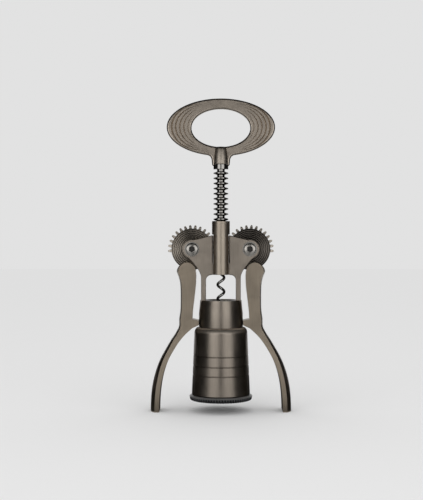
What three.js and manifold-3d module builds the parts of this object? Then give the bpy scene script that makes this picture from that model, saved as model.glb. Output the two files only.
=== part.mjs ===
// Wing corkscrew: two geared levers lift a ringed rack shaft that carries the worm.
// Millimetres, +Z up along the worm. X runs across the levers and -Y is the front.
// The origin lies on the axis, level with the lever feet.

import * as THREE from 'three';
import { mergeVertices } from 'three/addons/utils/BufferGeometryUtils.js';
import Module from 'manifold-3d';

const wasm = await Module();
wasm.setup();

// Fits and allowances
const running_clearance = 0.3;
const slide_clearance = 0.25;
const cut_overrun = 2;
const weld_distance = 1e-4;

// Facet counts
const round_steps = 48;
const small_round_steps = 20;
const rack_steps = 24;
const wheel_steps = 36;
const frame_outline_steps = 8;
const handle_outline_steps = 22;

// Gear train
const tooth_module = 1.5;
const full_circle_teeth = 28;
const cut_teeth = 16;
const pressure_angle = 20 * Math.PI / 180;
const tooth_backlash = 0.2;
const gear_addendum = 1.2;
const gear_dedendum = 2;
const gear_thickness = 8;
const gear_side_clearance = 0.4;
const gear_tip_clearance = 0.4;
const rack_pitch_radius = 5.5;
const rack_addendum = 1.4;
const rack_dedendum = 1.9;
const pitch_radius = tooth_module * full_circle_teeth / 2;
const ring_pitch = Math.PI * tooth_module;
const tooth_step = 2 * Math.PI / full_circle_teeth;
const tooth_width = ring_pitch / 2 - tooth_backlash;
const gear_tip_radius = pitch_radius + gear_addendum;
const gear_root_radius = pitch_radius - gear_dedendum;
const gear_space_radius = gear_tip_radius + gear_tip_clearance;
const gear_space_half = gear_thickness / 2 + gear_side_clearance;
const pivot_reach = pitch_radius + rack_pitch_radius;
const pivot_height = 149;
const ring_below_pivot = 0.7;

// Frame, whose heights hang from the lever pivots
const frame_half_depth = 8;
const boss_radius = 8.8;
const cheek_rise = 12.9;
const cheek_overlap = 1.15;
const window_drop = 23.7;
const window_height = 23.2;
const window_half_width = 13.75;
const window_corner_radius = 5;
const strut_width = 4.45;
const strut_flare_drop = 2.8;
const neck_length = 25;
const neck_margin = 0.9;
const neck_flare = 1.2;
const neck_bore_radius = 14.2;
const spigot_step = 2.3;
const spigot_length = 9.1;
const window_top = pivot_height - window_drop;
const neck_top = window_top - window_height;
const neck_bottom = neck_top - neck_length;
const spigot_bottom = neck_bottom - spigot_length;
const neck_top_radius = window_half_width + strut_width + neck_margin;
const neck_radius = neck_top_radius + neck_flare;
const spigot_radius = neck_radius - spigot_step;

// Guide tube
const tube_wall = 1.1;
const tube_step = 0.1;
const tube_rise = 25.8;
const tube_slot_margin = 0.8;
const rack_radius = rack_pitch_radius + rack_addendum;
const tube_bore_radius = rack_radius + slide_clearance;
const tube_radius = tube_bore_radius + tube_wall;
const tube_bottom = window_top + tube_step;
const tube_top = pivot_height + tube_rise;

// Rack shaft
const rings_below = 1;
const rings_above = 15;
const rack_foot_inset = 6.1;
const spindle_radius = 3.6;
const hub_crown = 6;
const rack_core_radius = rack_pitch_radius - rack_dedendum;
const rack_foot_height = tube_bottom + rack_foot_inset;
const first_ring_height = pivot_height - ring_below_pivot;
const last_ring_height = first_ring_height + rings_above * ring_pitch;

// Stop collar
const collar_rise = 3.5;
const collar_thickness = 4.6;
const collar_radius = rack_radius;
const collar_bottom = last_ring_height + collar_rise;
const collar_top = collar_bottom + collar_thickness;

// Bell
const bell_height = 61.8;
const bell_ledge = 0.5;
const bell_shoulder_round = 3.7;
const bell_shoulder_drop = 5.6;
const bell_flare = 2.3;
const bell_plate = 3;
const bell_wall = 2.1;
const bell_mouth_wall = 2.2;
const bell_mouth_depth = 4.8;
const bell_groove_depth = 0.35;
const bell_groove_width = 1.2;
const bell_groove_height_shares = [0.303, 0.44, 0.587];
const bell_bottom = neck_bottom - bell_height;
const bell_top_radius = neck_radius + bell_ledge;
const bell_shoulder_radius = bell_top_radius + bell_shoulder_round;
const bell_bottom_radius = bell_shoulder_radius + bell_flare;
const bell_bore_radius = bell_shoulder_radius - bell_wall;
const bell_mouth_radius = bell_bottom_radius - bell_mouth_wall;

// Rim ring
const rim_height = 4.7;
const rim_overhang = 2.2;
const rim_taper = 1.8;
const rim_slope_height = 1.7;
const rim_band = 0.4;
const rim_spigot_wall = 3.7;
const rim_spigot_height = 4.4;
const rim_rib_depth = 0.5;
const rim_ribs = 72;
const rim_bottom = bell_bottom - rim_height;
const rim_radius = bell_bottom_radius + rim_overhang;
const rim_bottom_radius = rim_radius - rim_taper;
const rim_spigot_radius = bell_mouth_radius - running_clearance;
const rim_bore_radius = rim_spigot_radius - rim_spigot_wall;

// Neck seat and centring sleeve
const seat_hole_radius = 12.5;
const seat_thickness = 2.2;
const seat_lip = 0.8;
const sleeve_bore_radius = 15.6;
const sleeve_mouth_depth = 12;
const liner_radius = bell_bore_radius - running_clearance;
const seat_bottom = spigot_bottom - running_clearance - seat_thickness;

// Levers
const foot_reach = 64.8;
const foot_half_depth = 11;
const head_half_depth = 8;
const foot_crown = 5.4;
const head_crown = 1.5;
const head_drop = 12.1;
const head_radius = 8.9;
const head_offset = 5.4;
const nose_rise = 2.2;
const nose_height = 4.3;
const nose_step = 1.3;
const stop_nose_gap = 0.4;
const head_centre_height = pivot_height - head_drop - head_radius;
const head_centre_reach = pivot_reach + head_offset;
const nose_bottom = neck_bottom + nose_rise;
const nose_top = nose_bottom + nose_height;
const nose_reach = neck_radius + stop_nose_gap;

// Pivot hardware
const shank_radius = 3;
const bush_wall = 1.1;
const washer_radius = 6.7;
const washer_thickness = 0.6;
const screw_head_radius = 5.6;
const screw_head_rim = 1.2;
const screw_head_rise = 1.5;
const socket_across_flats = 5;
const socket_depth = 1.9;
const nut_wall = 1.4;
const nut_depth = 3;
const pin_bore_radius = shank_radius + running_clearance;
const head_seat = frame_half_depth + washer_thickness + running_clearance;

// Handle
const handle_half_width = 50;
const handle_half_height = 26.5;
const handle_rise = 7.9;
const handle_thickness = 6;
const handle_bevel = 0.9;
const finger_hole_half_width = 27.1;
const finger_hole_half_height = 17.5;
const finger_hole_drop = 0.7;
const neck_join_angle = 75 * Math.PI / 180;
const throat_margin = 1.2;
const throat_rise = 2.5;
const throat_corner_drop = 0.6;
const ear_margin = 0.7;
const ear_drop = 1.7;
const hub_top_radius = 6;
const hub_crown_radius = 5;
const hub_crown_drop = 1.7;
const hub_edge = 0.3;
const hub_margin = 0.1;
const handle_centre_height = collar_top + handle_rise + handle_half_height;
const finger_hole_height = handle_centre_height - finger_hole_drop;
const hub_bottom = collar_top + running_clearance;
const hub_top = finger_hole_height - finger_hole_half_height;
const hub_bottom_radius = collar_radius + hub_margin;
const collar_space_radius = collar_radius + running_clearance;
const throat_half_width = collar_space_radius + throat_margin;
const throat_height = collar_top + throat_rise;
const ear_half_width = collar_space_radius + ear_margin;
const ear_bottom = collar_top - ear_drop;
const spindle_top = hub_top - hub_crown;

// Worm
const worm_wire_radius = 1.3;
const worm_outer_radius = 4.25;
const worm_pitch = 13;
const worm_side_drop = 15.6;
const worm_tip_drop = 3.1;
const worm_foot_gap = 0.5;
const worm_spread_height = 6.5;
const worm_shank_length = 11;
const worm_taper_height = 7;
const worm_tip_radius = 0.15;
const worm_steps_per_turn = 18;
const worm_sides = 8;
const set_screw_radius = 1.5;
const set_screw_inset = 0.5;
const set_screw_rise = 4;
const worm_axis_height = rack_foot_height - worm_foot_gap;
const worm_shank_top = worm_axis_height + worm_shank_length;
const worm_side_height = window_top - worm_side_drop;
const worm_tip_height = neck_bottom - worm_tip_drop;
const shank_bore_radius = worm_wire_radius + running_clearance;

// Finishes
const satin_bronze = { color: 0x6d665f, metalness: 0.9, roughness: 0.38 };
const polished_steel = { color: 0x8d8b88, metalness: 1, roughness: 0.15 };
const dark_steel = { color: 0x35322f, metalness: 1, roughness: 0.2 };
const black_rubber = { color: 0x17171a, metalness: 0, roughness: 0.6 };
const black_nylon = { color: 0x1c1c1e, metalness: 0, roughness: 0.5 };
const bearing_brass = { color: 0xa8843e, metalness: 1, roughness: 0.35 };

// Tools for solids
function merged(geometry) {
  const bare = geometry.clone();
  bare.deleteAttribute('normal');
  bare.deleteAttribute('uv');
  return mergeVertices(bare, weld_distance);
}

function solidOf(geometry) {
  const welded = merged(geometry);
  const vertProperties = new Float32Array(welded.attributes.position.array);
  const triVerts = new Uint32Array(welded.index.array);
  return new wasm.Manifold(new wasm.Mesh({ numProp: 3, vertProperties, triVerts }));
}

function geometryOf(solid) {
  const mesh = solid.getMesh();
  const geometry = new THREE.BufferGeometry();
  geometry.setAttribute('position', new THREE.BufferAttribute(new Float32Array(mesh.vertProperties), 3));
  geometry.setIndex(new THREE.BufferAttribute(new Uint32Array(mesh.triVerts), 1));
  geometry.computeVertexNormals();
  return geometry;
}

function cutAway(geometry, cutters) {
  let solid = solidOf(geometry);
  for (const cutter of cutters) {
    solid = solid.subtract(solidOf(cutter));
  }
  return geometryOf(solid);
}

function joined(geometries) {
  let solid = solidOf(geometries[0]);
  for (const geometry of geometries.slice(1)) {
    solid = solid.add(solidOf(geometry));
  }
  return geometryOf(solid);
}

function mirrored(geometry) {
  const copy = merged(geometry);
  copy.scale(-1, 1, 1);
  const index = copy.index.array;
  for (let i = 0; i < index.length; i += 3) {
    const kept = index[i];
    index[i] = index[i + 1];
    index[i + 1] = kept;
  }
  copy.computeVertexNormals();
  return copy;
}

// A profile of [radius, height] pairs turned about the Z axis
function turned(profile, steps = round_steps) {
  const points = profile.map(([radius, height]) => new THREE.Vector2(radius, height));
  const geometry = new THREE.LatheGeometry(points, steps);
  geometry.rotateX(Math.PI / 2);
  return geometry;
}

function ringBetween(inner, outer, bottom, top, steps = round_steps) {
  return turned([[inner, bottom], [outer, bottom], [outer, top], [inner, top], [inner, bottom]], steps);
}

function plug(radius, bottom, top, steps = round_steps) {
  return turned([[0, bottom], [radius, bottom], [radius, top], [0, top]], steps);
}

// A shape drawn in X and Z, with its thickness shared out along Y
function plate(shape, thickness, steps, bevel = 0) {
  const geometry = new THREE.ExtrudeGeometry(shape, {
    depth: thickness - 2 * bevel,
    bevelEnabled: bevel > 0,
    bevelThickness: bevel,
    bevelSize: bevel,
    bevelOffset: -bevel,
    bevelSegments: 1,
    curveSegments: steps,
  });
  geometry.translate(0, 0, bevel - thickness / 2);
  geometry.rotateX(Math.PI / 2);
  return geometry;
}

// A cylinder along Y through a point of the X and Z plane
function crossPlug(radius, depth, x, z, steps = small_round_steps) {
  const geometry = new THREE.CylinderGeometry(radius, radius, depth, steps);
  geometry.translate(x, 0, z);
  return geometry;
}

// Rings of points joined one to the next, and closed at both ends or round on themselves
function loft(rings, closed = false) {
  const sides = rings[0].length;
  const index = [];
  const spans = closed ? rings.length : rings.length - 1;
  for (let i = 0; i < spans; i += 1) {
    const next = (i + 1) % rings.length;
    for (let j = 0; j < sides; j += 1) {
      const a = i * sides + j;
      const b = i * sides + (j + 1) % sides;
      const c = next * sides + (j + 1) % sides;
      const d = next * sides + j;
      index.push(a, b, c, a, c, d);
    }
  }
  if (!closed) {
    const last = (rings.length - 1) * sides;
    for (let j = 1; j < sides - 1; j += 1) {
      index.push(0, j + 1, j);
      index.push(last, last + j, last + j + 1);
    }
  }
  const geometry = new THREE.BufferGeometry();
  geometry.setAttribute('position', new THREE.Float32BufferAttribute(rings.flat(2), 3));
  geometry.setIndex(index);
  geometry.computeVertexNormals();
  return geometry;
}

const corkscrew = new THREE.Group();

function addPiece(name, geometry, finish, place = [0, 0, 0]) {
  const material = new THREE.MeshStandardMaterial(finish);
  material.name = name;
  const mesh = new THREE.Mesh(geometry, material);
  mesh.name = name;
  mesh.position.set(...place);
  corkscrew.add(mesh);
}

// Forged frame: two pairs of cheeks on two struts over a turned neck
function cheekShape() {
  const inner = tube_radius - cheek_overlap;
  const outer = window_half_width + strut_width;
  const strut_foot = neck_top - cut_overrun;
  const corner_x = window_half_width - window_corner_radius;
  const corner_z = window_top - window_corner_radius;
  const boss_start = -0.27 * Math.PI;
  const boss_end = 0.56 * Math.PI;
  const boss_start_x = pivot_reach + boss_radius * Math.cos(boss_start);
  const boss_start_z = pivot_height + boss_radius * Math.sin(boss_start);
  const waist_reach = head_centre_reach - head_radius + nose_step;
  const waist_height_share = 0.75;
  const boss_turn_share = 0.42;
  const shape = new THREE.Shape();
  shape.moveTo(window_half_width, strut_foot);
  shape.lineTo(outer, strut_foot);
  shape.lineTo(outer, window_top - strut_flare_drop);
  shape.quadraticCurveTo(
    outer,
    head_centre_height,
    waist_reach,
    head_centre_height + head_radius * waist_height_share,
  );
  shape.quadraticCurveTo(
    waist_reach + (boss_start_x - waist_reach) * boss_turn_share,
    pivot_height - boss_radius - gear_tip_clearance,
    boss_start_x,
    boss_start_z,
  );
  shape.absarc(pivot_reach, pivot_height, boss_radius, boss_start, boss_end, false);
  shape.lineTo(inner, pivot_height + cheek_rise);
  shape.lineTo(inner, window_top);
  shape.lineTo(corner_x, window_top);
  shape.absarc(corner_x, corner_z, window_corner_radius, Math.PI / 2, 0, true);
  shape.closePath();
  return shape;
}

function makeFrame() {
  const side = plate(cheekShape(), 2 * frame_half_depth, frame_outline_steps);
  const neck = turned([
    [neck_bore_radius, spigot_bottom],
    [spigot_radius, spigot_bottom],
    [spigot_radius, neck_bottom],
    [neck_radius, neck_bottom],
    [neck_radius, neck_bottom + neck_length / 2],
    [neck_top_radius, neck_top],
    [neck_bore_radius, neck_top],
    [neck_bore_radius, spigot_bottom],
  ]);
  const cheek_end = pivot_height + cheek_rise + cut_overrun;
  const cutters = [
    plug(tube_radius + running_clearance, tube_bottom - cut_overrun, cheek_end),
    plug(neck_bore_radius, spigot_bottom - cut_overrun, neck_top),
  ];
  for (const way of [-1, 1]) {
    const x = way * pivot_reach;
    cutters.push(crossPlug(gear_space_radius, 2 * gear_space_half, x, pivot_height, wheel_steps));
    cutters.push(crossPlug(pin_bore_radius, 2 * (frame_half_depth + cut_overrun), x, pivot_height));
  }
  return cutAway(joined([side, mirrored(side), neck]), cutters);
}

// Guide tube, slotted on both sides where the gears reach the rack
function makeGuideTube() {
  const tube = ringBetween(tube_bore_radius, tube_radius, tube_bottom, tube_top);
  const reach = pivot_reach - tube_radius;
  const slot_half = Math.sqrt(gear_tip_radius ** 2 - reach ** 2) + tube_slot_margin;
  const slot = new THREE.BoxGeometry(2 * (tube_radius + cut_overrun), 2 * gear_space_half, 2 * slot_half);
  slot.translate(0, 0, pivot_height);
  return cutAway(tube, [slot]);
}

// Bell with three turned grooves, hung on the spigot under the neck
function makeBell() {
  const shoulder = neck_bottom - bell_shoulder_drop;
  const radiusAt = (z) => bell_shoulder_radius + bell_flare * (shoulder - z) / (shoulder - bell_bottom);
  const profile = [
    [bell_mouth_radius, bell_bottom],
    [bell_bottom_radius, bell_bottom],
  ];
  for (const share of bell_groove_height_shares) {
    const z = bell_bottom + share * bell_height;
    const low = z - bell_groove_width / 2;
    const high = z + bell_groove_width / 2;
    profile.push([radiusAt(low), low]);
    profile.push([radiusAt(z) - bell_groove_depth, z]);
    profile.push([radiusAt(high), high]);
  }
  const sweep_steps = 4;
  for (let i = 0; i <= sweep_steps; i += 1) {
    const t = (i / sweep_steps) * Math.PI / 2;
    profile.push([
      bell_top_radius + bell_shoulder_round * Math.cos(t),
      shoulder + bell_shoulder_drop * Math.sin(t),
    ]);
  }
  const hole = spigot_radius + running_clearance;
  const under_plate = neck_bottom - bell_plate;
  const mouth_top = bell_bottom + bell_mouth_depth;
  profile.push([hole, neck_bottom]);
  profile.push([hole, under_plate]);
  profile.push([bell_bore_radius, under_plate]);
  profile.push([bell_bore_radius, mouth_top]);
  profile.push([bell_mouth_radius, mouth_top]);
  profile.push([bell_mouth_radius, bell_bottom]);
  return turned(profile);
}

// Ribbed rubber rim that plugs into the mouth of the bell
function makeRimRing() {
  const spigot_top = bell_bottom + rim_spigot_height;
  const stations = 2 * rim_ribs;
  const rings = [];
  for (let i = 0; i < stations; i += 1) {
    const angle = (i / stations) * 2 * Math.PI;
    const dip = (i % 2) * rim_rib_depth;
    const section = [
      [rim_bore_radius, spigot_top],
      [rim_spigot_radius, spigot_top],
      [rim_spigot_radius, bell_bottom],
      [bell_bottom_radius, bell_bottom],
      [rim_radius, bell_bottom - rim_slope_height],
      [rim_radius - dip, bell_bottom - rim_slope_height - rim_band],
      [rim_bottom_radius - dip, rim_bottom],
      [rim_bore_radius, rim_bottom],
    ];
    rings.push(section.map(([r, z]) => [r * Math.cos(angle), r * Math.sin(angle), z]));
  }
  return loft(rings, true);
}

// Nylon sleeve that centres the bottle, held up by the rim ring
function makeCentringSleeve() {
  const bottom = bell_bottom + rim_spigot_height + running_clearance;
  return turned([
    [rim_bore_radius, bottom],
    [liner_radius, bottom],
    [liner_radius, seat_bottom],
    [sleeve_bore_radius, seat_bottom],
    [sleeve_bore_radius, bottom + sleeve_mouth_depth],
    [rim_bore_radius, bottom],
  ]);
}

// Seat for the bottle's lip, with a step that drops into the sleeve
function makeNeckSeat() {
  const lip_radius = sleeve_bore_radius - running_clearance;
  const top = seat_bottom + seat_thickness;
  return turned([
    [seat_hole_radius, seat_bottom - seat_lip],
    [lip_radius, seat_bottom - seat_lip],
    [lip_radius, seat_bottom],
    [liner_radius, seat_bottom],
    [liner_radius, top],
    [seat_hole_radius, top],
    [seat_hole_radius, seat_bottom - seat_lip],
  ]);
}

// Tooth wheel, cut over part of its rim and left plain round the rest
function involute(angle) {
  return Math.tan(angle) - angle;
}

function flankAngle(radius) {
  const base = pitch_radius * Math.cos(pressure_angle);
  const half = tooth_width / (2 * pitch_radius) + involute(pressure_angle);
  const slope = radius > base ? Math.acos(base / radius) : 0;
  return half - involute(slope);
}

function wheelShape() {
  const base = pitch_radius * Math.cos(pressure_angle);
  const radii = [gear_root_radius, base, pitch_radius, gear_tip_radius];
  const first = -ring_below_pivot / pitch_radius - tooth_step / 2;
  const points = [];
  for (let i = 0; i < cut_teeth; i += 1) {
    const centre = first + i * tooth_step;
    for (const r of radii) {
      const a = centre - flankAngle(r);
      points.push(new THREE.Vector2(r * Math.cos(a), r * Math.sin(a)));
    }
    for (const r of [...radii].reverse()) {
      const a = centre + flankAngle(r);
      points.push(new THREE.Vector2(r * Math.cos(a), r * Math.sin(a)));
    }
  }
  const plain_start = first + (cut_teeth - 1) * tooth_step + flankAngle(gear_root_radius);
  const plain_end = first + 2 * Math.PI - flankAngle(gear_root_radius);
  const plain_steps = full_circle_teeth - cut_teeth;
  for (let i = 1; i < plain_steps; i += 1) {
    const a = plain_start + (plain_end - plain_start) * i / plain_steps;
    points.push(new THREE.Vector2(gear_root_radius * Math.cos(a), gear_root_radius * Math.sin(a)));
  }
  return new THREE.Shape(points);
}

// Arm of the left lever. Heights are shares of the stretch that a table covers. Reaches run
// from 0 at the pivot to 1 at the foot's outer side.
const grip_edge_shares = [
  [0, 1, 0.786],
  [0.075, 0.997, 0.782],
  [0.188, 0.985, 0.77],
  [0.329, 0.946, 0.733],
  [0.47, 0.872, 0.664],
  [0.611, 0.758, 0.551],
  [0.751, 0.598, 0.387],
  [0.827, 0.505, 0.28],
  [0.896, 0.41, 0.155],
  [0.964, 0.331, 0],
];
const waist_edge_shares = [
  [0.028, 0.314, -0.007],
  [0.214, 0.284, -0.021],
  [0.459, 0.279, -0.055],
  [0.702, 0.284, -0.087],
  [0.829, 0.304, -0.095],
  [0.923, 0.335, -0.097],
];
const nose_back_share = 0.314;
const grip_end_share = 0.2;
const waist_start_share = 0.564;

function armStations() {
  const reachAt = (share) => pivot_reach + share * (foot_reach - pivot_reach);
  const stretched = (shares, bottom, top) => shares.map(([height, outer, inner]) => [
    bottom + height * (top - bottom),
    reachAt(outer),
    reachAt(inner),
  ]);
  const stations = stretched(grip_edge_shares, 0, nose_bottom);
  stations.push([nose_bottom, reachAt(nose_back_share), nose_reach]);
  stations.push([nose_top, reachAt(nose_back_share), nose_reach]);
  stations.push(...stretched(waist_edge_shares, nose_top, head_centre_height));
  const head_steps = 6;
  for (let i = 0; i < head_steps; i += 1) {
    const t = (i / head_steps) * Math.PI / 2;
    const half = head_radius * Math.cos(t);
    const z = head_centre_height + head_radius * Math.sin(t);
    stations.push([z, head_centre_reach + half, head_centre_reach - half]);
  }
  return stations;
}

function makeArm() {
  const crown_steps = 6;
  const grip_end = grip_end_share * pivot_height;
  const waist_start = waist_start_share * pivot_height;
  const rings = armStations().map(([z, outer, inner]) => {
    const rise = THREE.MathUtils.smoothstep(z, grip_end, waist_start);
    const half_depth = foot_half_depth + (head_half_depth - foot_half_depth) * rise;
    const full_crown = foot_crown + (head_crown - foot_crown) * Math.min(z / waist_start, 1);
    const crown = Math.min(full_crown, (outer - inner) / 2);
    const ring = [[-inner, -half_depth, z], [-inner, half_depth, z]];
    for (let i = 0; i <= crown_steps; i += 1) {
      const s = 1 - 2 * i / crown_steps;
      ring.push([-(outer - crown * s * s), half_depth * s, z]);
    }
    return ring;
  });
  return loft(rings);
}

function makeLeftLever() {
  const wheel = plate(wheelShape(), gear_thickness, 1);
  wheel.translate(-pivot_reach, 0, pivot_height);
  const bore = pin_bore_radius + bush_wall + running_clearance;
  const hole = crossPlug(bore, gear_thickness + 2 * cut_overrun, -pivot_reach, pivot_height);
  return cutAway(joined([makeArm(), wheel]), [hole]);
}

// Pivot hardware, drawn about its own axis along Z with the front end at the bottom
function layAlongY(geometry) {
  geometry.rotateX(-Math.PI / 2);
  return geometry;
}

function makePivotScrew() {
  const rim = head_seat + screw_head_rim;
  const crown = rim + screw_head_rise;
  const nut_end = head_seat + nut_depth - nut_wall;
  const shoulder_radius_share = 0.62;
  const shoulder_rise_share = 0.72;
  const body = turned([
    [0, -crown],
    [screw_head_radius * shoulder_radius_share, -(rim + screw_head_rise * shoulder_rise_share)],
    [screw_head_radius, -rim],
    [screw_head_radius, -head_seat],
    [shank_radius, -head_seat],
    [shank_radius, nut_end],
    [0, nut_end],
  ], small_round_steps);
  const hex_radius = socket_across_flats / Math.sqrt(3);
  const socket = new THREE.CylinderGeometry(hex_radius, hex_radius, 2 * socket_depth, 6);
  socket.rotateX(Math.PI / 2);
  socket.translate(0, 0, -crown);
  return layAlongY(cutAway(body, [socket]));
}

function makePivotNut() {
  const top = head_seat + nut_depth;
  const bore_end = top - nut_wall + running_clearance;
  return layAlongY(turned([
    [pin_bore_radius, head_seat],
    [screw_head_radius, head_seat],
    [screw_head_radius, head_seat + screw_head_rim],
    [screw_head_radius - nut_wall, top],
    [0, top],
    [0, bore_end],
    [pin_bore_radius, bore_end],
    [pin_bore_radius, head_seat],
  ], small_round_steps));
}

function makeWasher(way) {
  const far = way * (frame_half_depth + washer_thickness);
  const near = way * frame_half_depth;
  const ends = [Math.min(near, far), Math.max(near, far)];
  return layAlongY(ringBetween(pin_bore_radius, washer_radius, ...ends, small_round_steps));
}

function makeGearBush() {
  const outer = pin_bore_radius + bush_wall;
  return layAlongY(ringBetween(pin_bore_radius, outer, -gear_space_half, gear_space_half, small_round_steps));
}

// Rack shaft: rings at the gear pitch over a plain land, and a spindle for the handle
function makeRackShaft() {
  const slope = Math.tan(pressure_angle);
  const half_root = tooth_width / 2 + rack_dedendum * slope;
  const half_tip = tooth_width / 2 - rack_addendum * slope;
  const land_top = first_ring_height - (rings_below + 1) * ring_pitch;
  const profile = [
    [0, rack_foot_height],
    [rack_radius, rack_foot_height],
    [rack_radius, land_top + half_tip],
    [rack_core_radius, land_top + half_root],
  ];
  for (let k = -rings_below; k <= rings_above; k += 1) {
    const z = first_ring_height + k * ring_pitch;
    profile.push([rack_core_radius, z - half_root]);
    profile.push([rack_radius, z - half_tip]);
    profile.push([rack_radius, z + half_tip]);
    profile.push([rack_core_radius, z + half_root]);
  }
  profile.push([spindle_radius, spindle_top]);
  profile.push([0, spindle_top]);
  const bore = plug(
    shank_bore_radius,
    rack_foot_height - cut_overrun,
    worm_shank_top + running_clearance,
    small_round_steps,
  );
  const hole = setScrewPlug(set_screw_radius + running_clearance, 0, rack_radius + cut_overrun);
  return cutAway(turned(profile, rack_steps), [bore, hole]);
}

function setScrewPlug(radius, near, far) {
  const geometry = new THREE.CylinderGeometry(radius, radius, far - near, small_round_steps);
  geometry.rotateZ(Math.PI / 2);
  geometry.translate((near + far) / 2, 0, rack_foot_height + set_screw_rise);
  return geometry;
}

function makeWormSetScrew() {
  return setScrewPlug(set_screw_radius, shank_bore_radius, rack_radius - set_screw_inset);
}

function makeStopCollar() {
  const bore = spindle_radius + running_clearance;
  return ringBetween(bore, collar_radius, collar_bottom, collar_top, 2 * small_round_steps);
}

// Handle: flat oval ring with a turned hub and two ears beside the stop collar
function handleShape() {
  const join_x = handle_half_width * Math.cos(neck_join_angle);
  const join_z = handle_centre_height - handle_half_height * Math.sin(neck_join_angle);
  const bend_z = join_z - throat_corner_drop;
  const shape = new THREE.Shape();
  shape.moveTo(-ear_half_width, ear_bottom);
  shape.lineTo(ear_half_width, ear_bottom);
  shape.lineTo(throat_half_width, throat_height);
  shape.quadraticCurveTo(throat_half_width, bend_z, join_x, join_z);
  shape.absellipse(
    0,
    handle_centre_height,
    handle_half_width,
    handle_half_height,
    -neck_join_angle,
    Math.PI + neck_join_angle,
    false,
  );
  shape.quadraticCurveTo(-throat_half_width, bend_z, -throat_half_width, throat_height);
  shape.closePath();
  const hole = new THREE.Path();
  hole.absellipse(
    0,
    finger_hole_height,
    finger_hole_half_width,
    finger_hole_half_height,
    0,
    2 * Math.PI,
    true,
  );
  shape.holes.push(hole);
  return shape;
}

function makeHandle() {
  const oval = plate(handleShape(), handle_thickness, handle_outline_steps, handle_bevel);
  const below = ear_bottom - cut_overrun;
  const hub_waist_radius = hub_bottom_radius - hub_edge;
  const hub = turned([
    [0, hub_bottom],
    [hub_bottom_radius, hub_bottom],
    [hub_waist_radius, (hub_bottom + hub_top) / 2],
    [hub_top_radius, hub_top - hub_crown_drop],
    [hub_crown_radius, hub_top - hub_edge],
    [hub_crown_radius - hub_edge, hub_top],
    [0, hub_top],
  ], 2 * small_round_steps);
  const spindle_hole = spindle_radius + running_clearance;
  return cutAway(joined([oval, hub]), [
    plug(collar_space_radius, below, hub_bottom, 2 * small_round_steps),
    plug(spindle_hole, below, spindle_top + running_clearance, small_round_steps),
  ]);
}

// Worm: one wire wound to the right, straight at the top and drawn to a point
class WormPath extends THREE.Curve {
  getPoint(t, target = new THREE.Vector3()) {
    const z = worm_shank_top + (worm_tip_height - worm_shank_top) * t;
    const spread = THREE.MathUtils.clamp((worm_axis_height - z) / worm_spread_height, 0, 1);
    const eased = spread * spread * (3 - 2 * spread);
    const radius = (worm_outer_radius - worm_wire_radius) * eased;
    const angle = 2 * Math.PI * (z - worm_side_height) / worm_pitch;
    return target.set(radius * Math.cos(angle), radius * Math.sin(angle), z);
  }
}

function makeWorm() {
  const path = new WormPath();
  const turns = (worm_shank_top - worm_tip_height) / worm_pitch;
  const steps = Math.round(worm_steps_per_turn * turns);
  const frames = path.computeFrenetFrames(steps, false);
  const rings = [];
  for (let i = 0; i <= steps; i += 1) {
    const centre = path.getPointAt(i / steps);
    const above_tip = Math.abs(centre.z - worm_tip_height);
    const fullness = Math.min(above_tip / worm_taper_height, 1);
    const radius = worm_tip_radius + (worm_wire_radius - worm_tip_radius) * Math.sqrt(fullness);
    const ring = [];
    for (let j = 0; j < worm_sides; j += 1) {
      const a = (j / worm_sides) * 2 * Math.PI;
      const point = centre.clone();
      point.addScaledVector(frames.normals[i], radius * Math.cos(a));
      point.addScaledVector(frames.binormals[i], radius * Math.sin(a));
      ring.push(point.toArray());
    }
    rings.push(ring);
  }
  return loft(rings);
}

// Assembly
addPiece('frame', makeFrame(), satin_bronze);
addPiece('guide_tube', makeGuideTube(), satin_bronze);
addPiece('bell', makeBell(), satin_bronze);
addPiece('rim_ring', makeRimRing(), black_rubber);
addPiece('centring_sleeve', makeCentringSleeve(), black_nylon);
addPiece('neck_seat', makeNeckSeat(), black_nylon);

const left_lever = makeLeftLever();
addPiece('lever_left', left_lever, satin_bronze);
addPiece('lever_right', mirrored(left_lever), satin_bronze);

for (const [side, way] of [['left', -1], ['right', 1]]) {
  const place = [way * pivot_reach, 0, pivot_height];
  addPiece(`pivot_screw_${side}`, makePivotScrew(), polished_steel, place);
  addPiece(`pivot_nut_${side}`, makePivotNut(), polished_steel, place);
  addPiece(`front_washer_${side}`, makeWasher(-1), polished_steel, place);
  addPiece(`rear_washer_${side}`, makeWasher(1), polished_steel, place);
  addPiece(`gear_bush_${side}`, makeGearBush(), bearing_brass, place);
}

addPiece('stop_collar', makeStopCollar(), polished_steel);
addPiece('rack_shaft', makeRackShaft(), polished_steel);
addPiece('handle', makeHandle(), satin_bronze);
addPiece('worm', makeWorm(), dark_steel);
addPiece('worm_set_screw', makeWormSetScrew(), dark_steel);

export default corkscrew;
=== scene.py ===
import math

import bpy
from mathutils import Matrix, Vector


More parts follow.
